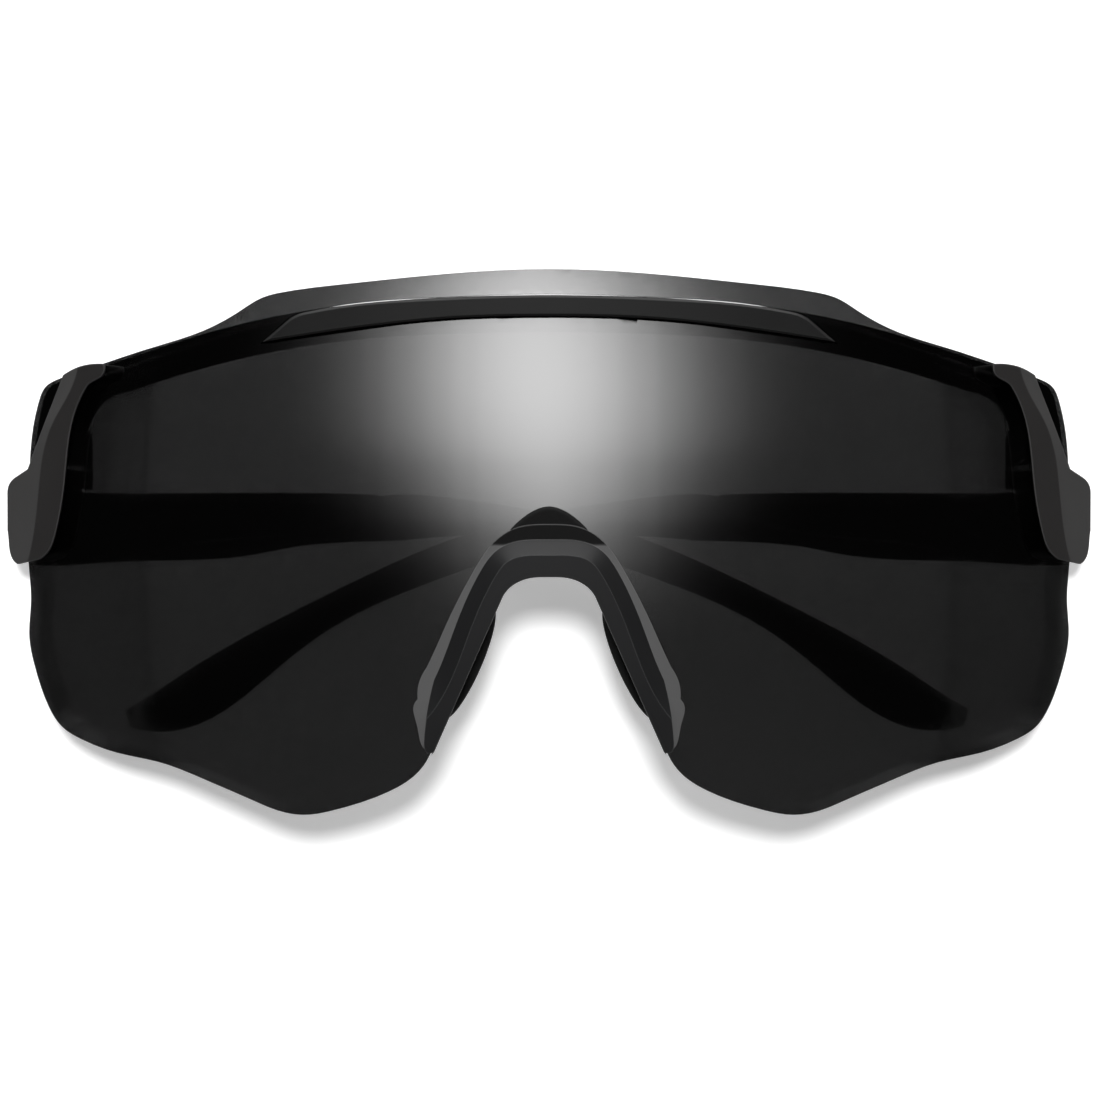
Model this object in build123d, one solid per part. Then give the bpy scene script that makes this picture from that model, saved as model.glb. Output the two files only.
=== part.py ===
from build123d import *
import os
from math import cos, radians, sin, tan

# Wraparound sport sunglasses, in mm, with the temples folded.
# x runs to the wearer's left, y from the lens to the rear, z up.
# While it is built, x = 0 is the mirror plane, y = 0 the front of the lens
# and z = 0 its lowest point; main() moves the whole to its own origin.

# Overall sizes
LENS_WIDTH = 138.2
LENS_HEIGHT = 70.9
TEMPLE_LENGTH = 122.7      # from the hinge axis to the tip

# Lens
LENS_THICKNESS = 2.0
WRAP_ANGLE = 51.75         # how far the lens has turned at its side, degrees
DROP_RADIUS = 240.0        # its curvature from top to bottom

# Fits
SEAT_GAP = 0.05            # between the lens and what holds it
SLOT_GAP = 0.15            # round what passes through the lens
GROOVE_ROOM = 0.3          # between the lens's side and its groove
TURN_GAP = 0.05            # a pin in the piece that turns on it
SCREW_GAP = 0.02           # a pin or screw in the piece that holds it
CHEEK_GAP = 0.12           # between knuckles, along their axis
SOCK_GAP = 0.03            # between an ear sock and its temple
SWING_GAP = 0.3            # round a knuckle

# Brow frame
RIB_PROUD = 1.3
RIB_BEVEL = 0.3
BAND_DEPTH = 3.6
FLANGE_DEPTH = 2.2

# End pieces
SIDE_PROUD = 1.9
FACET_FALL = 15.0          # the outer facet's slope, degrees
TAB_DEPTH = 1.6
TAB_SCREW_HEIGHT = 0.685   # of the lens height
TAB_SCREW_ANGLE = 49.2     # round the lens, degrees
SCREW_RADIUS = 0.7
SCREW_HEAD_RADIUS = 1.3
SCREW_HEAD_DEPTH = 0.7

# Hinges
HINGE_IN = 3.1             # the axis, inboard of the lens's side
HINGE_BACK = 4.8           # the axis, behind the back of the lens's side
HINGE_HEIGHT = 0.526       # of the lens height
KNUCKLE_RADIUS = 2.4
TONGUE_HEIGHT = 5.4
LUG_HEIGHT = 2.0
PIN_RADIUS = 0.8
PIN_HEAD_RADIUS = 1.5
PIN_HEAD_DEPTH = 0.8

# Temples
ARM_OUT = 4.0              # outer face, from the hinge axis
ARM_IN = 1.2               # inner face, from the hinge axis
ARM_LENGTH = 45.3          # from the axis to the middle of its slanted end
ARM_BOW = 4.0              # how far the temple bends inward over its length
TANG_WALL = 0.9            # rubber left round the tang
RIGHT_LIFT = 4.5           # how far the right temple lies off its folded stop

# Nose piece
BRIDGE_PROUD = 3.4
BRIDGE_BEVEL = 2.0
NOSE_SCREW_HEIGHT = 0.534  # of the lens height
FOOT_PROUD = 1.1
DOME_PROUD = 1.0
DOME_SKIN = 0.35           # plastic left over the nose screw's tip
CARRIER_DEPTH = 3.0
PAD_PIN_RADIUS = 0.6
PAD_KNUCKLE_RADIUS = 1.5
PAD_KNUCKLE_LENGTH = 8.0
PAD_KNUCKLE_ROOM = 2.3     # behind the carrier, at the mirror plane
PAD_LUG_LENGTH = 1.6
PAD_LENGTH = 16.5
PAD_DEPTH = 9.0
PAD_THICKNESS = 1.9
PAD_PLATE = 1.0
PAD_RIM = 1.6              # rubber round the plate
PAD_SPLAY = 24.0           # the pad's lean away from straight back, degrees

HALF_WIDTH = LENS_WIDTH / 2
WRAP_RADIUS = HALF_WIDTH / sin(radians(WRAP_ANGLE))
LENS_MIDDLE = LENS_HEIGHT / 2
SIDE_DEPTH = WRAP_RADIUS * (1 - cos(radians(WRAP_ANGLE)))
HINGE_X = HALF_WIDTH - HINGE_IN
HINGE_Y = SIDE_DEPTH + LENS_THICKNESS / cos(radians(WRAP_ANGLE)) + HINGE_BACK
HINGE_Z = LENS_HEIGHT * HINGE_HEIGHT
BLOCK_BACK = HINGE_Y - KNUCKLE_RADIUS - SWING_GAP
HINGE_TOP = HINGE_Z + TONGUE_HEIGHT / 2 + CHEEK_GAP + LUG_HEIGHT
HINGE_BOTTOM = HINGE_Z - TONGUE_HEIGHT / 2 - CHEEK_GAP - LUG_HEIGHT
BEHIND_LENS = LENS_THICKNESS + SEAT_GAP
PAD_PIN_BACK = PAD_KNUCKLE_RADIUS + PAD_KNUCKLE_ROOM
REACH = 300.0              # long enough to cut right through

# Outlines of the front view, from the middle towards the wearer's left:
# per cent of the lens's half width, per cent of its height.
LENS_EDGE = [(0, 100), (18.8, 99.2), (37.6, 97.5), (49.9, 96.1), (54.6, 94.9),
             (58.2, 92.8), (65, 89.3), (76.7, 85.8), (86.8, 82.8), (93.8, 80.7),
             (96.8, 79.1), (98.1, 76.4), (99.4, 70.5), (100, 62), (100, 45),
             (99.6, 39.4), (100, 32.7), (98.7, 26.2), (95.9, 19), (93.5, 15.7),
             (89.6, 13.4), (82.5, 11), (73.8, 9.3), (65, 6.2), (56.3, 2.7),
             (50.7, 0.6), (45.7, 0), (40.5, 0.9), (30.1, 4.4), (25.8, 6.9),
             (22.3, 11.3)]
NOSE_CUT = [[(22.3, 11.3), (11.4, 38.9)],
            [(11.4, 38.9), (8.1, 43.7), (3.6, 45.8), (0, 46.4)]]
RIB = [[(0, 95.2), (22.3, 94.6), (35.3, 93.8), (45.6, 92.3)],
       [(45.6, 92.3), (47.9, 91.6), (49.7, 90.4)],
       [(49.7, 90.4), (53.9, 86.9)],
       [(53.9, 86.9), (38.1, 89.1), (18.2, 91), (0, 91.4)]]
VENT = [(38.1, 88.7), (18.2, 90.95), (0, 91.4)]
BAND = [[(0, 95.3), (22.3, 94.8), (44.1, 92.9), (59.5, 90.1), (76.7, 85.4), (93.5, 80.3)],
        [(93.5, 80.3), (96.4, 78.8), (97.5, 76.3)],
        [(97.5, 76.3), (98.7, 70.5), (99.1, 64.9)],
        [(99.1, 64.9), (90, 64.9)],
        [(90, 64.9), (89.4, 68), (86.6, 74.7), (80.3, 78.1)],
        [(80.3, 78.1), (66.1, 82.2), (37.9, 87.2), (18.8, 88.3), (0, 88.6)]]
FLANGE_TOP = 79.0          # below this the band is as thin as a flange
SIDE = [[(84.6, 83.2), (89.6, 82.8), (93.1, 81.3)],
        [(93.1, 81.3), (96.8, 72.2), (100.2, 63.8)],
        [(100.2, 63.8), (102.7, 62.4)],
        [(102.7, 62.4), (104.1, 61.2), (104.6, 59.2)],
        [(104.6, 59.2), (104.5, 52.3)],
        [(104.5, 52.3), (104.1, 49.2), (103.3, 46.9), (102.2, 46)],
        [(102.2, 46), (97.6, 46.9)],
        [(97.6, 46.9), (95.6, 48.6), (94.3, 51.8), (92.6, 60.7), (91.2, 71.7), (88.4, 78.6)],
        [(88.4, 78.6), (87.4, 79.7), (86, 80.4), (84.6, 83.2)]]
RIDGE = [(89.6, 85), (92, 77.3), (95.2, 71.8), (97, 66), (97.9, 58.6), (98.6, 52.8), (101, 44)]
BLOCK = [[(90.2, 63.8), (100.2, 63.8)]] + SIDE[2:6] + [
         [(102.2, 46), (92, 48.4)],
         [(92, 48.4), (90.2, 50.4)],
         [(90.2, 50.4), (90.2, 63.8)]]
ARCH = [[(0, 50.5), (6, 50.2), (9.6, 48.7), (12.8, 44.8), (17.5, 34.8), (21.5, 25)],
        [(21.5, 25), (22.6, 20.2), (23.4, 13.5)],
        [(23.4, 13.5), (22.6, 11.6), (21.5, 11.8)]]
OPENING = [[(21.5, 11.8), (8.6, 40.2)],
           [(8.6, 40.2), (6.6, 42.3), (3.6, 43.5), (0, 43.7)]]
FOOT = [[(0, 53.3), (6, 52.7), (9.6, 50.7), (14, 45), (18.6, 36.4), (22.9, 27.2)],
        [(22.9, 27.2), (24.6, 23.2), (24.6, 21.4)],
        [(24.6, 21.4), (25.3, 20.4), (24.7, 16.5), (23.4, 12.4), (21.5, 11.8)]]
DOME = [[(0, 56.6), (4.1, 55.1), (7.3, 52.3)],
        [(7.3, 52.3), (0, 52.3)]]

# The temple's side view: per cent of its length from the hinge,
# mm above the hinge's middle.
ARM_TOP = [(1.6, 4.9), (20, 4.85), (34.8, 4.6), (42, 4.0)]
ARM_BOTTOM = [(42, -1.5), (31, -1.8), (26, -2.4), (21.3, -3.5), (12.7, -4.2), (1.6, -4.9)]
# The ear sock: per cent along, mm above the hinge, half height, half width, slope.
SOCK = [(34, 1.7, 2.3, 1.9, 0), (47, 1.35, 2.2, 1.85, -4), (59, -1.5, 2.15, 1.8, -16),
        (72, -7.5, 2.05, 1.8, -25), (81, -13.3, 2.4, 1.75, -30), (89, -19.9, 3.5, 1.6, -31),
        (95, -24.1, 3.05, 1.45, -28), (99.6, -25.3, 1.2, 0.9, -18)]


def front(u, v):
    """A point of the front view, from its per cent of half width and of height."""
    return Vector(u / 100 * HALF_WIDTH, 0, v / 100 * LENS_HEIGHT)


def curve(points):
    return Line(*points) if len(points) == 2 else Spline(*points)


def lengths(edge, count):
    """The same curve in equal lengths, because one very long spline measures wrong."""
    return [edge.trim(i / count, (i + 1) / count) for i in range(count)]


def left_face(runs):
    """The flat face closed by runs of points on the wearer's left."""
    return make_face([curve([front(*p) for p in run]) for run in runs])


def whole_face(runs):
    """As left_face, but mirrored: the runs go from the middle to the middle."""
    edges = []
    for run in runs:
        left = [front(*p) for p in run]
        right = [front(-u, v) for u, v in run]
        if run[0][0] == 0:
            edges += lengths(curve(right[:0:-1] + left), 1 + len(run) // 8)
        elif run[-1][0] == 0:
            edges.append(curve(left + right[-2::-1]))
        else:
            edges += [curve(left), curve(right)]
    return make_face(edges)


def bar(face, start=-REACH / 2, end=REACH / 2):
    """A front-view face carried straight back from y = start to y = end."""
    return extrude(Pos(0, start, 0) * face, amount=end - start, dir=(0, 1, 0))


def skin_arc(depth):
    """The section of the lens's front surface, moved back by depth, at x = 0."""
    rise = LENS_MIDDLE + 12
    radius = DROP_RADIUS - depth
    sag = radius - (radius ** 2 - rise ** 2) ** 0.5
    low = (0, depth + sag, LENS_MIDDLE - rise)
    high = (0, depth + sag, LENS_MIDDLE + rise)
    return ThreePointArc(low, (0, depth, LENS_MIDDLE), high)


def shell(outer, inner):
    """The curved layer between two depths behind the lens's front surface."""
    a, b = skin_arc(outer), skin_arc(inner)
    profile = make_face([a, Line(a @ 1, b @ 1), b, Line(b @ 0, a @ 0)])
    axis = Axis((0, WRAP_RADIUS, 0), (0, 0, 1))
    half_turn = 66
    return revolve(profile.rotate(axis, -half_turn), axis, 2 * half_turn)


def at_lens(angle, height, depth):
    """A plane on the lens, its normal pointing straight in through the lens."""
    turn = radians(angle)
    radius = WRAP_RADIUS - depth
    origin = (radius * sin(turn), WRAP_RADIUS - radius * cos(turn), height)
    return Plane(origin, x_dir=(cos(turn), sin(turn), 0), z_dir=(-sin(turn), cos(turn), 0))


def drum(plane, radius, start, end):
    """A cylinder on a plane's normal, from start to end along it."""
    return extrude(plane.offset(start) * Circle(radius), amount=end - start)


def skin_radius(z, depth):
    """The horizontal radius, at height z, of the lens's front moved back by depth."""
    rise = z - LENS_MIDDLE
    return WRAP_RADIUS - DROP_RADIUS + ((DROP_RADIUS - depth) ** 2 - rise ** 2) ** 0.5


def skin_point(u, v, depth):
    """The point of that surface seen at a point of the front view."""
    spot = front(u, v)
    back = (skin_radius(spot.Z, depth) ** 2 - spot.X ** 2) ** 0.5
    return Vector(spot.X, WRAP_RADIUS - back, spot.Z)


def on_skin(point, depth):
    flat = (point.X ** 2 + (point.Y - WRAP_RADIUS) ** 2) ** 0.5
    return abs(flat - skin_radius(point.Z, depth)) < 0.01


def skin_edges(solid, depth):
    """The edges that lie on that surface, the longest first."""
    found = [edge for edge in solid.edges()
             if all(on_skin(edge @ t, depth) for t in (0.2, 0.5, 0.8))]
    return sorted(found, key=lambda edge: -edge.length)


def make_shield_lens():
    lens = bar(whole_face([LENS_EDGE] + NOSE_CUT)) & shell(0, LENS_THICKNESS)
    hole = drum(nose_screw_plane(), SCREW_RADIUS + SLOT_GAP, -1, BEHIND_LENS + 1)
    return lens - bar(slot_face()) - hole


def slot_face():
    """The brow rib's outline with its gap, and the vent under its ends."""
    wide = 100 * SLOT_GAP / HALF_WIDTH
    high = 100 * SLOT_GAP / LENS_HEIGHT
    top = [(u, v + high) for u, v in RIB[0]]
    corner = [top[-1]] + [(u + wide, v + high) for u, v in RIB[1][1:]]
    tip = (RIB[2][1][0] + 3 * wide, RIB[2][1][1] - 2 * high)
    low = [(u, v - high) for u, v in VENT]
    return whole_face([top, corner, [corner[-1], tip], [tip] + low])


def make_brow_frame():
    band = bar(whole_face(BAND))
    deep = band & shell(BEHIND_LENS, BEHIND_LENS + BAND_DEPTH)
    level = LENS_HEIGHT * FLANGE_TOP / 100
    cut = Pos(0, 0, level - REACH / 2) * Box(REACH, REACH, REACH)
    deep = deep - (cut & bar(whole_face(BAND)) & shell(BEHIND_LENS + FLANGE_DEPTH, 12))
    rib = bar(whole_face(RIB)) & shell(-RIB_PROUD, BEHIND_LENS + 1)
    rib = chamfer(skin_edges(rib, -RIB_PROUD), RIB_BEVEL)
    frame = deep + rib
    for side in (-1, 1):
        hole = at_lens(side * TAB_SCREW_ANGLE, LENS_HEIGHT * TAB_SCREW_HEIGHT, BEHIND_LENS)
        frame -= drum(hole, SCREW_RADIUS + SCREW_GAP, 0.5, 6)
    return frame


def hinge_plane(z=0.0):
    return Plane((HINGE_X, HINGE_Y, z))


def hinge_lug(bottom):
    width = 2 * KNUCKLE_RADIUS
    base = Plane((HINGE_X, HINGE_Y - 3, bottom)) * Rectangle(width, 6)
    base += hinge_plane(bottom) * Circle(KNUCKLE_RADIUS)
    return extrude(base, amount=LUG_HEIGHT)


def end_piece_tab():
    """The leg behind the brow frame's flange that the screw holds it by."""
    height = LENS_HEIGHT * TAB_SCREW_HEIGHT
    start = FLANGE_DEPTH + SEAT_GAP
    hole = at_lens(TAB_SCREW_ANGLE, height, BEHIND_LENS)
    foot = hole.origin.Z - LENS_HEIGHT * 0.6
    leg = hole.offset(start) * Pos(0, foot / 2, 0) * Rectangle(4.8, foot)
    leg += hole.offset(start) * Circle(2.4)
    return extrude(leg, amount=TAB_DEPTH)


def side_facet():
    """What the outer facet takes off the end piece, falling away from its ridge."""
    plane = at_lens(TAB_SCREW_ANGLE, LENS_MIDDLE, -SIDE_PROUD)
    spread = 1 / tan(radians(FACET_FALL))
    ridge = [plane.to_local_coords(skin_point(*p, -SIDE_PROUD)) for p in RIDGE]
    faces = []
    for level in (-2.0, 6.0):
        edge = [Vector(p.X + (level - p.Z) * spread, p.Y, level) for p in ridge]
        far = REACH / 4
        rest = Polyline(edge[-1], (far, edge[-1].Y, level), (far, edge[0].Y, level), edge[0])
        faces.append(plane * make_face([Spline(*edge), rest]))
    return loft(faces, ruled=True)


def make_end_piece_left():
    side = bar(left_face(SIDE), end=BLOCK_BACK) & shell(-SIDE_PROUD, LENS_THICKNESS / 2)
    block = bar(left_face(BLOCK), end=BLOCK_BACK) & shell(-SEAT_GAP, 30)
    behind = block & shell(BEHIND_LENS, 30)
    piece = side + behind + (block & bar(left_face(SIDE)))
    piece -= side_facet()
    piece += hinge_lug(HINGE_BOTTOM) + hinge_lug(HINGE_TOP - LUG_HEIGHT)
    piece += end_piece_tab() - shell(-30, BEHIND_LENS + FLANGE_DEPTH + SEAT_GAP)
    groove = Pos(HALF_WIDTH / 2 + GROOVE_ROOM, 0, LENS_MIDDLE) * Box(HALF_WIDTH, REACH, REACH)
    piece -= groove & shell(-SEAT_GAP, LENS_THICKNESS + SEAT_GAP)
    pin = hinge_plane()
    piece -= drum(pin, PIN_RADIUS + SCREW_GAP, HINGE_BOTTOM - 1, HINGE_TOP + 1)
    piece -= drum(pin, PIN_HEAD_RADIUS + SCREW_GAP, HINGE_TOP - PIN_HEAD_DEPTH, HINGE_TOP + 1)
    screw = at_lens(TAB_SCREW_ANGLE, LENS_HEIGHT * TAB_SCREW_HEIGHT, BEHIND_LENS)
    piece -= drum(screw, SCREW_RADIUS + SCREW_GAP, 1, 12)
    return piece


def driver_slot(plane, level, radius):
    """The cut across a screw's head."""
    return extrude(plane.offset(level - 0.4) * Rectangle(2 * radius + 1, 0.4), amount=1)


def make_end_piece_screw_left():
    plane = at_lens(TAB_SCREW_ANGLE, LENS_HEIGHT * TAB_SCREW_HEIGHT, BEHIND_LENS)
    seat = FLANGE_DEPTH + SEAT_GAP + TAB_DEPTH + 0.02
    top = seat + SCREW_HEAD_DEPTH
    screw = drum(plane, SCREW_RADIUS, 0.6, seat) + drum(plane, SCREW_HEAD_RADIUS, seat, top)
    return screw - driver_slot(plane, top, SCREW_HEAD_RADIUS)


def make_hinge_screw_left():
    plane = hinge_plane()
    seat = HINGE_TOP - PIN_HEAD_DEPTH + 0.02
    screw = drum(plane, PIN_RADIUS, HINGE_BOTTOM, seat)
    screw += drum(plane, PIN_HEAD_RADIUS, seat, HINGE_TOP)
    return screw - driver_slot(plane, HINGE_TOP, PIN_HEAD_RADIUS)


def bow(share):
    """How far the temple's middle lies behind the hinge axis, folded."""
    return (ARM_OUT - ARM_IN) / 2 - ARM_BOW * share ** 2


def temple_point(percent, rise):
    return Vector(HINGE_X - percent / 100 * TEMPLE_LENGTH, 0, HINGE_Z + rise)


def slant(gap):
    """Everything on the hinge's side of the arm's slanted end."""
    end = Plane((HINGE_X - ARM_LENGTH + gap, 0, HINGE_Z + 1.3),
                x_dir=(0, 1, 0), z_dir=(-cos(radians(34)), 0, sin(radians(34))))
    return extrude(end * Rectangle(REACH, REACH), amount=-REACH)


def arm_plan():
    """The arm seen from above, folded."""
    thin = SOCK[0][3] + 0.15
    far = 0.42
    out_far = Vector(HINGE_X - far * TEMPLE_LENGTH, HINGE_Y + bow(far) + thin)
    in_far = Vector(HINGE_X - far * TEMPLE_LENGTH, HINGE_Y + bow(far) - thin)
    heel = HINGE_X + KNUCKLE_RADIUS
    root = HINGE_X - KNUCKLE_RADIUS - 0.4
    out_y, in_y = HINGE_Y + ARM_OUT, HINGE_Y - ARM_IN
    heel_y = HINGE_Y + KNUCKLE_RADIUS + SWING_GAP
    outer = Spline((heel, out_y), (HINGE_X - 12, out_y - 0.1), out_far)
    inner = Spline(in_far, (HINGE_X - 24, in_y - 0.1), (HINGE_X - 12, in_y - 0.05),
                   (root, in_y))
    return make_face([outer, Line(out_far, in_far), inner,
                      Line((root, in_y), (root, heel_y)),
                      Line((root, heel_y), (heel, heel_y)),
                      Line((heel, heel_y), (heel, out_y))])


def arm_side():
    """The arm seen from its outer face, folded, with the heel past the hinge."""
    top = [temple_point(*p) for p in ARM_TOP]
    bottom = [temple_point(*p) for p in ARM_BOTTOM]
    past = Vector(2 * KNUCKLE_RADIUS, 0, 0)
    return make_face([Line(top[0] + past, top[0]), curve(top), Line(top[-1], bottom[0]),
                      curve(bottom), Line(bottom[-1], bottom[-1] + past),
                      Line(bottom[-1] + past, top[0] + past)])


def sock_body(slim, first=0, last=None):
    """The ear sock's round-cornered outside, or its tang when slimmed."""
    rings = []
    for percent, rise, half_height, half_width, slope in SOCK[first:last]:
        centre = temple_point(percent, rise) + Vector(0, HINGE_Y + bow(percent / 100), 0)
        along = Vector(-cos(radians(slope)), 0, sin(radians(slope)))
        plane = Plane(centre, x_dir=(0, 1, 0), z_dir=along)
        rings.append(plane * Ellipse(half_width - slim, half_height - slim))
    return loft(rings)


def make_temple_arm_left():
    body = extrude(arm_plan(), amount=REACH, dir=(0, 0, 1))
    body &= bar(arm_side())
    body &= slant(0)
    tongue = hinge_plane(HINGE_Z - TONGUE_HEIGHT / 2) * Circle(KNUCKLE_RADIUS)
    depth = ARM_IN + KNUCKLE_RADIUS + SWING_GAP
    middle = Vector(HINGE_X - 2, HINGE_Y - ARM_IN + depth / 2)
    tongue += Plane((middle.X, middle.Y, HINGE_Z - TONGUE_HEIGHT / 2)) * Rectangle(4, depth)
    body += extrude(tongue, amount=TONGUE_HEIGHT)
    body += sock_body(TANG_WALL + SOCK_GAP, 0, 6)
    body -= pocket()
    return body - drum(hinge_plane(), PIN_RADIUS + TURN_GAP, 0, REACH)


def pocket():
    """The shallow scoop in the arm's inner face."""
    shape = [temple_point(*p) for p in
             ((5, 3.4), (20, 3.5), (34, 3.0), (30, 0.6), (21, -1.2), (11, -3.0), (5, -3.2))]
    face = make_face([curve(shape[:3]), curve(shape[2:6]), Line(*shape[5:7]),
                      Line(shape[6], shape[0])])
    depth = HINGE_Y - ARM_IN + 0.7
    return bar(face, end=depth)


def make_ear_sock_left():
    sock = sock_body(0) - slant(-0.06)
    return sock - sock_body(TANG_WALL, 0, 6)


def make_nose_bridge():
    outer = bar(whole_face(ARCH + OPENING)) & shell(-BRIDGE_PROUD, -SEAT_GAP)
    outer = chamfer(skin_edges(outer, -BRIDGE_PROUD)[:1], BRIDGE_BEVEL)
    foot = bar(whole_face(FOOT + OPENING)) & shell(-FOOT_PROUD, -SEAT_GAP)
    through = bar(whole_face(through_runs())) & shell(-FOOT_PROUD, BEHIND_LENS)
    bridge = outer + foot + through + dome()
    return bridge - drum(nose_screw_plane(), SCREW_RADIUS + SCREW_GAP, DOME_SKIN - DOME_PROUD, 1)


def through_runs():
    """The part of the bridge that fills the lens's nose cut."""
    wide = 100 * SLOT_GAP / HALF_WIDTH
    high = 100 * SLOT_GAP / LENS_HEIGHT
    leg, crown = ([(u - wide if u else 0, v - high) for u, v in run] for run in NOSE_CUT)
    return [[OPENING[0][0], leg[0]], leg, crown] + OPENING


def nose_screw_plane():
    """On the screw that holds the bridge and its carrier together."""
    return at_lens(0, LENS_HEIGHT * NOSE_SCREW_HEIGHT, 0)


def make_nose_screw():
    plane = nose_screw_plane()
    seat = BEHIND_LENS + SEAT_GAP + CARRIER_DEPTH / 2 + 0.02
    top = seat + SCREW_HEAD_DEPTH
    screw = drum(plane, SCREW_RADIUS, DOME_SKIN - DOME_PROUD + SCREW_GAP, seat)
    screw += drum(plane, SCREW_HEAD_RADIUS, seat, top)
    return screw - driver_slot(plane, top, SCREW_HEAD_RADIUS)


def dome():
    """The small rounded tab that shows above the bridge's foot."""
    tab = bar(whole_face(DOME)) & shell(-DOME_PROUD, -SEAT_GAP)
    return fillet(skin_edges(tab, -DOME_PROUD)[:1], DOME_PROUD / 2)


def pad_plane():
    """On the left pad's pin: x away from the nose, y back, z up along the pad."""
    low, high = front(18.4, 18.9), front(9.4, 38.9)
    up = (high - low).normalized()
    middle = (low + high) * 0.5 + Vector(2.6, BEHIND_LENS + CARRIER_DEPTH + PAD_PIN_BACK, 0)
    return Plane(middle, x_dir=(up.Z, 0, -up.X), z_dir=up)


def pad_lugs():
    plane = pad_plane()
    start = PAD_KNUCKLE_LENGTH / 2 + CHEEK_GAP
    reach = PAD_PIN_BACK + 1.6
    lugs = []
    for low in (start, -start - PAD_LUG_LENGTH):
        shape = Circle(PAD_KNUCKLE_RADIUS)
        shape += Pos(0, -reach / 2, 0) * Rectangle(2 * PAD_KNUCKLE_RADIUS, reach)
        lugs.append(extrude(plane.offset(low) * shape, amount=PAD_LUG_LENGTH))
    hole = drum(plane, PAD_PIN_RADIUS + SCREW_GAP, -REACH / 10, REACH / 10)
    return [lug - hole for lug in lugs]


def make_nose_carrier():
    """The arch behind the lens that carries both pads."""
    arch = [[(0, 50), (6, 49.7), (10.6, 47), (17.8, 34.8), (22.6, 24)],
            [(22.6, 24), (23.4, 18), (22.4, 13)],
            [(22.4, 13), (21.2, 13.4)]]
    inside = [[(21.2, 13.4), (9, 40.2)], [(9, 40.2), (6.6, 42.8), (3.6, 43.9), (0, 44.1)]]
    start = BEHIND_LENS + SEAT_GAP
    carrier = bar(whole_face(arch + inside)) & shell(start, start + CARRIER_DEPTH)
    screw = nose_screw_plane()
    boss = drum(screw, 2.4, 0, 9) + extrude(screw * Pos(0, 2, 0) * Rectangle(4.8, 4), amount=9)
    carrier += boss & shell(start, start + CARRIER_DEPTH / 2)
    carrier -= drum(nose_screw_plane(), SCREW_RADIUS + SCREW_GAP, 0, 9)
    for lug in pad_lugs():
        lug -= shell(-30, start + 0.5)
        carrier += lug + mirror(lug, Plane.YZ)
    return carrier


def make_pad_pin_left():
    half = PAD_KNUCKLE_LENGTH / 2 + CHEEK_GAP + PAD_LUG_LENGTH
    return drum(pad_plane(), PAD_PIN_RADIUS, -half, half)


def pad_face_plane():
    """The pad's own plane: z away from the nose, turned out by the splay."""
    turned = pad_plane().location * Rot(0, 0, -PAD_SPLAY)
    return Plane(turned * Pos(-PAD_KNUCKLE_RADIUS - SWING_GAP, 3.6, 0) * Rot(0, 90, 0))


def make_pad_holder_left():
    plane = pad_plane()
    knuckle = drum(plane, PAD_KNUCKLE_RADIUS, -PAD_KNUCKLE_LENGTH / 2, PAD_KNUCKLE_LENGTH / 2)
    plate = pad_face_plane() * pad_shape(PAD_RIM)
    holder = knuckle + extrude(plate, amount=PAD_PLATE)
    return holder - drum(plane, PAD_PIN_RADIUS + TURN_GAP, -REACH / 10, REACH / 10)


def pad_shape(inset):
    return Ellipse(PAD_LENGTH / 2 - inset, PAD_DEPTH / 2 - inset)


def make_nose_pad_left():
    """A rubber pad pulled over the holder's plate, open at its back."""
    face = pad_face_plane()
    top = PAD_PLATE + SEAT_GAP
    pad = extrude(face.offset(-PAD_THICKNESS) * pad_shape(0), amount=PAD_THICKNESS + top + 0.6)
    pad = fillet(pad.edges().group_by(SortBy.LENGTH)[-1], 0.5)
    plate = pad_shape(PAD_RIM - SEAT_GAP)
    pad -= extrude(face.offset(-SEAT_GAP) * plate, amount=top + SEAT_GAP)
    pad -= extrude(face.offset(top) * pad_shape(PAD_RIM + 0.8), amount=2)
    room = PAD_KNUCKLE_RADIUS + SWING_GAP
    return pad - drum(pad_plane(), room, -PAD_LENGTH, PAD_LENGTH)


def swing(part, angle, side):
    """A folded temple's piece turned open by an angle about its hinge."""
    axis = Axis((side * HINGE_X, HINGE_Y, 0), (0, 0, -side))
    return part.rotate(axis, angle)


def build():
    nodes = {
        "shield_lens": make_shield_lens(),
        "brow_frame": make_brow_frame(),
        "nose_bridge": make_nose_bridge(),
        "nose_carrier": make_nose_carrier(),
        "nose_screw": make_nose_screw(),
    }
    pairs = {
        "end_piece": make_end_piece_left(),
        "end_piece_screw": make_end_piece_screw_left(),
        "hinge_screw": make_hinge_screw_left(),
        "temple_arm": make_temple_arm_left(),
        "ear_sock": make_ear_sock_left(),
        "pad_holder": make_pad_holder_left(),
        "pad_pin": make_pad_pin_left(),
        "nose_pad": make_nose_pad_left(),
    }
    for name, left in pairs.items():
        right = mirror(left, Plane.YZ)
        if name in ("temple_arm", "ear_sock"):
            right = swing(right, RIGHT_LIFT, -1)
        nodes[name + "_left"] = left
        nodes[name + "_right"] = right
    return nodes


def base_centre(nodes):
    """The middle of the bottom of the box round the whole assembly."""
    boxes = [part.bounding_box() for part in nodes.values()]
    x = min(box.min.X for box in boxes) + max(box.max.X for box in boxes)
    y = min(box.min.Y for box in boxes) + max(box.max.Y for box in boxes)
    return Vector(x / 2, y / 2, min(box.min.Z for box in boxes))


def main():
    os.makedirs("parts", exist_ok=True)
    nodes = build()
    shift = Pos(*base_centre(nodes) * -1)
    for name, part in nodes.items():
        export_step(shift * part, f"parts/{name}.step")


if __name__ == "__main__":
    main()
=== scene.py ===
import math

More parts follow.
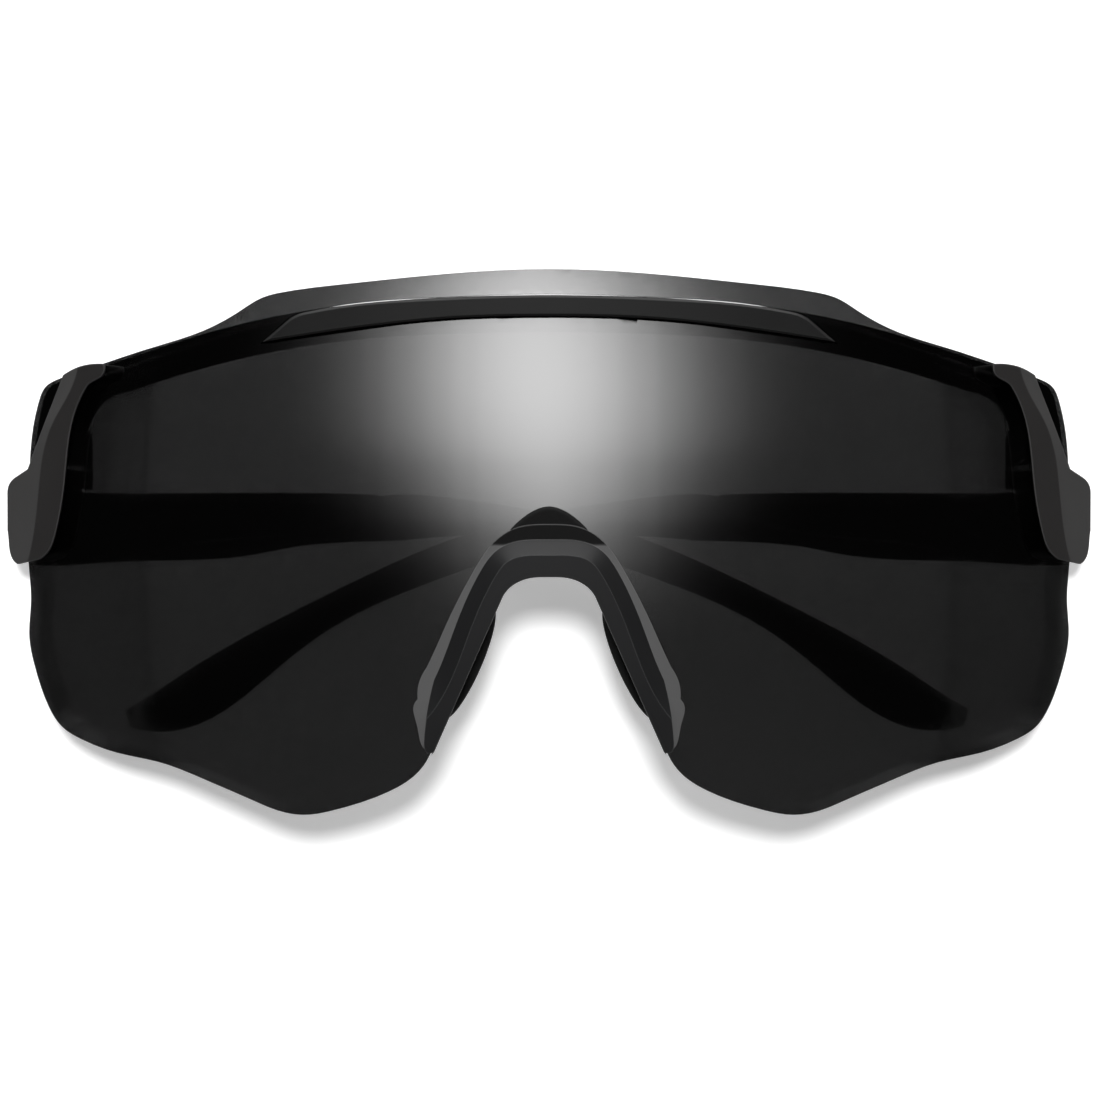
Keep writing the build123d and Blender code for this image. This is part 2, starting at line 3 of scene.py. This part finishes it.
import bpy
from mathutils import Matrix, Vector


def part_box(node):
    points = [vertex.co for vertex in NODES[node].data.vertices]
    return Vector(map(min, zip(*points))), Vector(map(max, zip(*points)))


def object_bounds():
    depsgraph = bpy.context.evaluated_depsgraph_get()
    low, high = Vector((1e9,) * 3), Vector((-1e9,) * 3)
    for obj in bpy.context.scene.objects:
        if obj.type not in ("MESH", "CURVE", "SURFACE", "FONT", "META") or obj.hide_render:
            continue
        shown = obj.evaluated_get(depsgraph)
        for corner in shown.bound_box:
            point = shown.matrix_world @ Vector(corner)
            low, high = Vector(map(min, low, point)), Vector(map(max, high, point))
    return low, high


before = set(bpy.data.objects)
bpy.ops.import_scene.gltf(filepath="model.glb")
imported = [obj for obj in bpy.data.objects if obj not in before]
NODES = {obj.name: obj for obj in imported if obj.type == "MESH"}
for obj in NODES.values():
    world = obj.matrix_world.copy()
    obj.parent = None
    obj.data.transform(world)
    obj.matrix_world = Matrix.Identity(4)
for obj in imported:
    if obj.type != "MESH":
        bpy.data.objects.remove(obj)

CAD_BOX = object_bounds()
MM = 0.001

# The lens's box, and the camera in front of it
LENS_LOW, LENS_HIGH = (Vector(corner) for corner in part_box("shield_lens"))
CAMERA_DISTANCE = 1.2
CAMERA_HEIGHT = 34.5 * MM
CAMERA_SIDE = 0.13 * MM
FRAME_WIDTH = 142.2 * MM   # what the picture spans at the front of the lens
SENSOR = 36.0              # Blender counts a sensor in millimetres
CLIP_NEAR, CLIP_FAR = 0.01, 50.0

# The nose piece's flange, painted paler as a sheen that stands in for the light it catches, and
# its crown, painted deep black as shade
PAINTED_SHEEN_DARK = (0.075, 0.0745, 0.075)
PAINTED_SHEEN_LIGHT = (0.095, 0.0945, 0.095)
PAINTED_SHADE_DARK = (0.003, 0.003, 0.003)
PAINTED_SHADE_LIGHT = (0.005, 0.005, 0.005)
DEEP_ROUGHER = 0.3

# The lens's curvature across and down, and the step of the nose piece's flange above the lens's
# front face, whose painted sheen is full up to a margin over the step and then blurs out
WRAP_RADIUS = 87.99 * MM
DROP_RADIUS = 240.0 * MM
FLANGE_STEP = 1.1 * MM
FLANGE_MARGIN = 0.08 * MM
FLANGE_BLUR = 0.2 * MM
# below this height the flange has its painted sheen, above it the crown has its painted shade
FLANGE_TOP = 35.2 * MM     # pale below this height, deep black above it

# Moulded plastic: the fine grain's part in its roughness, how far that roughness varies, and its
# edges: the colour of their painted highlight, and the cosines where they start and are full
GRAIN_SHARE = 0.4
UNEVEN_LOW, UNEVEN_HIGH = -0.06, 0.08
PAINTED_EDGE_HIGHLIGHT = (0.3, 0.3, 0.3, 1.0)
EDGE_START, EDGE_FULL = 0.985, 0.85

# The paper and the sun
PAPER_GAP = 1.5 * MM       # from the folded temples to the paper behind them
PAPER_REACH = 0.45
PAPER_GLOW = 0.36
SUN_HEIGHT = 6.3           # degrees above the camera's line
SUN_STRENGTH = 2.5
SUN_SIZE = 4.4             # degrees across

# The key light: angles in degrees, to the right of the camera's line and above it
KEY_TURN = -1.6
KEY_HEIGHT = 11.5
KEY_TILT = 0.17            # it leans this far to the left for each degree upward
KEY_WIDE = 22.0
KEY_WAIST = 4.0            # it narrows from this far below its middle
KEY_NARROWING = 0.8        # by this much for each degree downward
KEY_LEAST = 16.5           # but stays at least this wide
KEY_LOW = 10.5
KEY_HIGH = 12.5
KEY_SIDE_POWER = 1.74      # of the distance sideways
KEY_FADE_POWER = 1.2       # of the whole distance from its middle
KEY_STRENGTH = 2.6

# The other lights: angles in degrees, above the camera's line or round from it
TOP_START, TOP_FULL = 35.0, 70.0
TOP_STRENGTH = 2.9
BACK_START, BACK_FULL = 112.0, 150.0
BACK_STRENGTH = 0.7
ROOM = 0.0045


class Tree:
    """A node tree with short ways to add and join nodes."""

    def __init__(self, owner):
        owner.use_nodes = True
        self.nodes = owner.node_tree.nodes
        self.links = owner.node_tree.links
        self.nodes.clear()

    def add(self, kind, inputs=(), **settings):
        node = self.nodes.new(kind)
        for name, value in settings.items():
            setattr(node, name, value)
        for name, value in dict(inputs).items():
            self.put(node.inputs[name], value)
        return node

    def put(self, target, value):
        if isinstance(value, bpy.types.NodeSocket):
            self.links.new(value, target)
        else:
            target.default_value = value

    def math(self, operation, first, second=0.0):
        node = self.nodes.new("ShaderNodeMath")
        node.operation = operation
        self.put(node.inputs[0], first)
        self.put(node.inputs[1], second)
        return node.outputs[0]

    def noise(self, scale, detail=3.0, roughness=0.5):
        place = self.add("ShaderNodeTexCoord").outputs["Object"]
        node = self.add("ShaderNodeTexNoise", {
            "Vector": place, "Scale": scale, "Detail": detail, "Roughness": roughness})
        return node.outputs["Fac"]

    def between(self, value, low, high):
        """Goes from low to high while the value goes from 0 to 1."""
        node = self.add("ShaderNodeMapRange", {"Value": value, "To Min": low, "To Max": high})
        return node.outputs["Result"]

    def fall(self, value, low, high):
        """Falls from 1 to 0 while the value goes from low to high."""
        node = self.add("ShaderNodeMapRange", {
            "Value": value, "From Min": low, "From Max": high, "To Min": 1.0, "To Max": 0.0})
        return node.outputs["Result"]

    def smooth(self, value, low, high, top):
        """Rises gently from 0 to top while the value goes from low to high."""
        node = self.add("ShaderNodeMapRange", {
            "Value": value, "From Min": low, "From Max": high, "To Min": 0.0,
            "To Max": top}, interpolation_type="SMOOTHSTEP")
        return node.outputs["Result"]

    def tint(self, value, dark, light):
        return self.blend(value, (*dark, 1.0), (*light, 1.0))

    def blend(self, value, first, second):
        """Goes from the first colour to the second while the value goes from 0 to 1."""
        mix = self.add("ShaderNodeMix", data_type="RGBA")
        self.put(mix.inputs[0], value)
        # its colours A and B, whose names its number inputs have too
        self.put(mix.inputs[6], first)
        self.put(mix.inputs[7], second)
        return mix.outputs[2]


def edge_share(tree, rounded):
    """1 along the piece's edges and 0 on its flats."""
    flat = tree.add("ShaderNodeNewGeometry").outputs["Normal"]
    turn = tree.add("ShaderNodeVectorMath", operation="DOT_PRODUCT")
    tree.put(turn.inputs[0], flat)
    tree.put(turn.inputs[1], rounded.outputs[0])
    return tree.fall(turn.outputs["Value"], EDGE_FULL, EDGE_START)


def moulded(name, dark, light, rough, shine, edge=0.25, highlight_rim=0.0, shares=None):
    """Moulded plastic: a fine spark-eroded grain, softened edges and faint mottling.
    Its edges may get a painted highlight in a paler colour, and shares() may say where a paler
    sheen and a deep black shade are painted on it."""
    material = bpy.data.materials.new(name)
    tree = Tree(material)
    mottle = tree.noise(90.0, 4.0)
    fine = tree.noise(3600.0, 2.0, 0.6)
    rounded = tree.add("ShaderNodeBevel", {"Radius": edge * MM}, samples=6)
    bump = tree.add("ShaderNodeBump", {
        "Height": fine, "Strength": 0.3, "Distance": 0.02 * MM,
        "Normal": rounded.outputs[0]})
    colour = tree.tint(mottle, dark, light)
    grain = tree.math("ADD", mottle, tree.math("MULTIPLY", fine, GRAIN_SHARE))
    uneven = tree.between(grain, UNEVEN_LOW, UNEVEN_HIGH)
    if shares:
        # a paler colour paints sheen on the flange and deep black paints shade on the crown
        painted_sheen, painted_shade = shares(tree)
        colour = tree.blend(painted_sheen, colour, tree.tint(mottle, PAINTED_SHEEN_DARK, PAINTED_SHEEN_LIGHT))
        colour = tree.blend(painted_shade, colour, tree.tint(mottle, PAINTED_SHADE_DARK, PAINTED_SHADE_LIGHT))
        rough = tree.between(painted_shade, rough, rough + DEEP_ROUGHER)
    # a paler colour along the edges paints their highlight
    if highlight_rim:
        painted_highlight = tree.math("MULTIPLY", edge_share(tree, rounded), highlight_rim)
        colour = tree.blend(painted_highlight, colour, PAINTED_EDGE_HIGHLIGHT)
    shader = tree.add("ShaderNodeBsdfPrincipled", {
        "Base Color": colour,
        "Roughness": tree.math("ADD", uneven, rough),
        "Normal": bump.outputs[0]})
    shader.inputs["IOR"].default_value = 1.5
    shader.inputs["Specular IOR Level"].default_value = shine
    tree.add("ShaderNodeOutputMaterial", {"Surface": shader.outputs[0]})
    return material


def flange_and_crown(tree):
    """Two shares of the nose piece: 1 on the low flange beside its legs, painted paler as a sheen,
    and 1 on the low part above them, its crown, painted deep black as shade."""
    place = tree.add("ShaderNodeTexCoord").outputs["Object"]
    split = tree.add("ShaderNodeSeparateXYZ", {"Vector": place})
    x, y, z = (split.outputs[name] for name in "XYZ")
    back = tree.math("SUBTRACT", y, LENS_LOW.y + WRAP_RADIUS)
    flat = tree.math("SQRT", tree.math("ADD", tree.math("POWER", x, 2),
                                       tree.math("POWER", back, 2)))
    rise = tree.math("SUBTRACT", z, (LENS_LOW.z + LENS_HIGH.z) / 2)
    sag = tree.math("DIVIDE", tree.math("POWER", tree.math("ABSOLUTE", rise), 2),
                    2 * DROP_RADIUS)
    proud = tree.math("SUBTRACT", tree.math("ADD", flat, sag), WRAP_RADIUS)
    low = tree.fall(proud, FLANGE_STEP + FLANGE_MARGIN, FLANGE_STEP + FLANGE_BLUR)
    under = tree.fall(z, FLANGE_TOP - FLANGE_BLUR, FLANGE_TOP + FLANGE_BLUR)
    crown = tree.math("MULTIPLY", low, tree.math("SUBTRACT", 1.0, under))
    return tree.math("MULTIPLY", low, under), crown


def rubber(name, dark, light):
    """Soft rubber: matt, with a fine powdery grain and slightly uneven tone."""
    material = bpy.data.materials.new(name)
    tree = Tree(material)
    mottle = tree.noise(140.0, 5.0, 0.6)
    grain = tree.noise(5200.0, 3.0, 0.7)
    round_edge = tree.add("ShaderNodeBevel", {"Radius": 0.3 * MM}, samples=4)
    bump = tree.add("ShaderNodeBump", {
        "Height": grain, "Strength": 0.5, "Distance": 0.03 * MM,
        "Normal": round_edge.outputs[0]})
    shader = tree.add("ShaderNodeBsdfPrincipled", {
        "Base Color": tree.tint(mottle, dark, light),
        "Roughness": tree.between(grain, 0.62, 0.8),
        "Normal": bump.outputs[0]})
    shader.inputs["IOR"].default_value = 1.5
    shader.inputs["Specular IOR Level"].default_value = 0.35
    tree.add("ShaderNodeOutputMaterial", {"Surface": shader.outputs[0]})
    return material


def steel(name):
    """Blackened steel, turned, with fine machining marks."""
    material = bpy.data.materials.new(name)
    tree = Tree(material)
    marks = tree.noise(9000.0, 2.0)
    mottle = tree.noise(700.0, 3.0)
    round_edge = tree.add("ShaderNodeBevel", {"Radius": 0.08 * MM}, samples=4)
    bump = tree.add("ShaderNodeBump", {
        "Height": marks, "Strength": 0.35, "Distance": 0.01 * MM,
        "Normal": round_edge.outputs[0]})
    shader = tree.add("ShaderNodeBsdfPrincipled", {
        "Base Color": tree.tint(mottle, (0.12, 0.12, 0.125), (0.22, 0.22, 0.23)),
        "Metallic": 1.0,
        "Roughness": tree.between(marks, 0.24, 0.42),
        "Normal": bump.outputs[0]})
    tree.add("ShaderNodeOutputMaterial", {"Surface": shader.outputs[0]})
    return material


def tinted_lens(name):
    """Dark polycarbonate with a mirror coating: it reflects some light, lets a little
    through each face, and its coating is very slightly uneven."""
    material = bpy.data.materials.new(name)
    tree = Tree(material)
    cloud = tree.noise(28.0, 2.0)
    polish = tree.noise(1500.0, 2.0)
    ripple = tree.add("ShaderNodeBump", {
        "Height": cloud, "Strength": 0.04, "Distance": 0.2 * MM})
    clear = tree.add("ShaderNodeBsdfTransparent", {
        "Color": tree.tint(cloud, (0.217, 0.217, 0.217), (0.226, 0.226, 0.226))})
    mirror = tree.add("ShaderNodeBsdfAnisotropic", {
        "Color": tree.tint(cloud, (0.94, 0.94, 0.94), (0.98, 0.98, 0.98)),
        "Roughness": tree.between(polish, 0.07, 0.1),
        "Normal": ripple.outputs[0]})
    edge_on = tree.add("ShaderNodeLayerWeight", {"Blend": 0.35, "Normal": ripple.outputs[0]})
    share = tree.between(edge_on.outputs["Fresnel"], 0.22, 0.62)
    surface = tree.add("ShaderNodeMixShader", {"Fac": share})
    tree.put(surface.inputs[1], clear.outputs[0])
    tree.put(surface.inputs[2], mirror.outputs[0])
    tree.add("ShaderNodeOutputMaterial", {"Surface": surface.outputs[0]})
    return material


def paper(name):
    """The white sheet: lit paper on its front, and clear from behind."""
    material = bpy.data.materials.new(name)
    tree = Tree(material)
    fibre = tree.noise(900.0, 4.0)
    white = tree.add("ShaderNodeBsdfDiffuse", {
        "Color": tree.tint(fibre, (0.89, 0.89, 0.89), (0.91, 0.91, 0.91))})
    glow = tree.add("ShaderNodeEmission", {"Color": (1, 1, 1, 1), "Strength": PAPER_GLOW})
    front = tree.add("ShaderNodeAddShader")
    tree.put(front.inputs[0], white.outputs[0])
    tree.put(front.inputs[1], glow.outputs[0])
    side = tree.add("ShaderNodeNewGeometry").outputs["Backfacing"]
    both = tree.add("ShaderNodeMixShader", {"Fac": side})
    tree.put(both.inputs[1], front.outputs[0])
    tree.put(both.inputs[2], tree.add("ShaderNodeBsdfTransparent").outputs[0])
    tree.add("ShaderNodeOutputMaterial", {"Surface": both.outputs[0]})
    return material


def dress(prefixes, material):
    """Gives the material to every piece whose name starts with one of the prefixes."""
    for name, node in NODES.items():
        if name.startswith(prefixes):
            node.data.materials.clear()
            node.data.materials.append(material)


def materials():
    dress(("shield_lens",), tinted_lens("lens_coating"))
    # the edges of these nylons get a painted highlight in a paler colour
    dress(("brow_frame",), moulded(
        "brow_nylon", (0.009, 0.009, 0.009), (0.013, 0.013, 0.013),
        rough=0.46, shine=0.3, edge=0.2, highlight_rim=0.12))
    dress(("end_piece_l", "end_piece_r"), moulded(
        "side_nylon", (0.017, 0.016, 0.016), (0.024, 0.0225, 0.022),
        rough=0.42, shine=0.4, edge=0.45, highlight_rim=0.1))
    # the bridge's flange has a painted sheen and its crown has painted shade
    dress(("nose_bridge",), moulded(
        "bridge_nylon", (0.0085, 0.0085, 0.009), (0.0125, 0.0125, 0.013),
        rough=0.42, shine=0.35, edge=0.2, highlight_rim=0.3, shares=flange_and_crown))
    dress(("nose_carrier", "pad_holder"), moulded(
        "carrier_nylon", (0.009, 0.009, 0.01), (0.015, 0.015, 0.016),
        rough=0.45, shine=0.5, edge=0.15))
    dress(("temple_arm",), moulded(
        "arm_nylon", (0.006, 0.006, 0.0065), (0.011, 0.011, 0.0115), rough=0.45, shine=0.5))
    dress(("ear_sock",), rubber("sock_rubber", (0.006, 0.006, 0.006), (0.012, 0.012, 0.012)))
    dress(("nose_pad",), rubber("pad_rubber", (0.008, 0.008, 0.008), (0.014, 0.014, 0.014)))
    dress(("end_piece_screw", "hinge_screw", "pad_pin", "nose_screw"), steel("dark_steel"))


def camera():
    data = bpy.data.cameras.new("camera")
    data.sensor_width = SENSOR
    data.lens = SENSOR * CAMERA_DISTANCE / FRAME_WIDTH
    data.dof.use_dof = False
    data.clip_start, data.clip_end = CLIP_NEAR, CLIP_FAR
    item = bpy.data.objects.new("camera", data)
    item.location = (CAMERA_SIDE, LENS_LOW.y - CAMERA_DISTANCE, CAMERA_HEIGHT)
    item.rotation_euler = (math.radians(90), 0, 0)
    bpy.context.collection.objects.link(item)
    bpy.context.scene.camera = item


def backdrop():
    """The white sheet that the folded glasses lie on, upright in this frame."""
    back = CAD_BOX[1].y + PAPER_GAP
    mesh = bpy.data.meshes.new("paper")
    corners = [(-PAPER_REACH, back, -PAPER_REACH), (PAPER_REACH, back, -PAPER_REACH),
               (PAPER_REACH, back, PAPER_REACH), (-PAPER_REACH, back, PAPER_REACH)]
    mesh.from_pydata(corners, [], [(0, 1, 2, 3)])
    mesh.materials.append(paper("paper"))
    item = bpy.data.objects.new("paper", mesh)
    item.visible_glossy = False
    bpy.context.collection.objects.link(item)


def sun():
    data = bpy.data.lights.new("sun", "SUN")
    data.energy = SUN_STRENGTH
    data.angle = math.radians(SUN_SIZE)
    item = bpy.data.objects.new("sun", data)
    item.rotation_euler = (math.radians(90 - SUN_HEIGHT), 0, 0)
    item.visible_glossy = False
    bpy.context.collection.objects.link(item)


def key_light(tree, azimuth, height):
    """The broad soft light before the lens: a leaning oval, narrower below its waist."""
    rise = tree.math("SUBTRACT", height, KEY_HEIGHT)
    under = tree.math("MAXIMUM", tree.math("SUBTRACT", -KEY_WAIST, rise), 0.0)
    wide = tree.math("SUBTRACT", KEY_WIDE, tree.math("MULTIPLY", under, KEY_NARROWING))
    wide = tree.math("MAXIMUM", wide, KEY_LEAST)
    middle = tree.math("SUBTRACT", KEY_TURN, tree.math("MULTIPLY", rise, KEY_TILT))
    across = tree.math("DIVIDE", tree.math("SUBTRACT", azimuth, middle), wide)
    above = tree.math("GREATER_THAN", rise, 0.0)
    tall = tree.math("ADD", tree.math("MULTIPLY", above, KEY_HIGH - KEY_LOW), KEY_LOW)
    up = tree.math("DIVIDE", rise, tall)
    far = tree.math("ADD", tree.math("POWER", tree.math("ABSOLUTE", across), KEY_SIDE_POWER),
                    tree.math("POWER", tree.math("ABSOLUTE", up), 2))
    fading = tree.math("MULTIPLY", tree.math("POWER", far, KEY_FADE_POWER), -1)
    return tree.math("MULTIPLY", tree.math("EXPONENT", fading), KEY_STRENGTH)


def studio():
    """A dim room with a key light, one light overhead and one behind the glasses.
    The camera itself sees plain white."""
    world = bpy.data.worlds.new("studio")
    bpy.context.scene.world = world
    tree = Tree(world)
    place = tree.add("ShaderNodeTexCoord").outputs["Generated"]
    split = tree.add("ShaderNodeSeparateXYZ", {"Vector": place})
    x, y, z = (split.outputs[name] for name in "XYZ")
    turn = math.degrees(1)
    azimuth = tree.math("MULTIPLY", tree.math("ARCTAN2", x, tree.math("MULTIPLY", y, -1)), turn)
    height = tree.math("MULTIPLY", tree.math("ARCSINE", z), turn)
    key = key_light(tree, azimuth, height)
    over = tree.smooth(height, TOP_START, TOP_FULL, TOP_STRENGTH)
    round_back = tree.math("ABSOLUTE", azimuth)
    behind = tree.smooth(round_back, BACK_START, BACK_FULL, BACK_STRENGTH)
    light = tree.math("ADD", tree.math("ADD", key, tree.math("MAXIMUM", over, behind)), ROOM)
    seen = tree.add("ShaderNodeLightPath").outputs["Is Camera Ray"]
    level = tree.add("ShaderNodeMix", data_type="FLOAT")
    tree.put(level.inputs[0], seen)
    # its numbers A and B
    tree.put(level.inputs[2], light)
    tree.put(level.inputs[3], 1.0)
    shine = tree.add("ShaderNodeBackground", {"Color": (1, 1, 1, 1), "Strength": level.outputs[0]})
    tree.add("ShaderNodeOutputWorld", {"Surface": shine.outputs[0]})


def main():
    camera()
    materials()
    backdrop()
    sun()
    studio()
    bpy.context.scene.view_settings.view_transform = "Standard"


main()
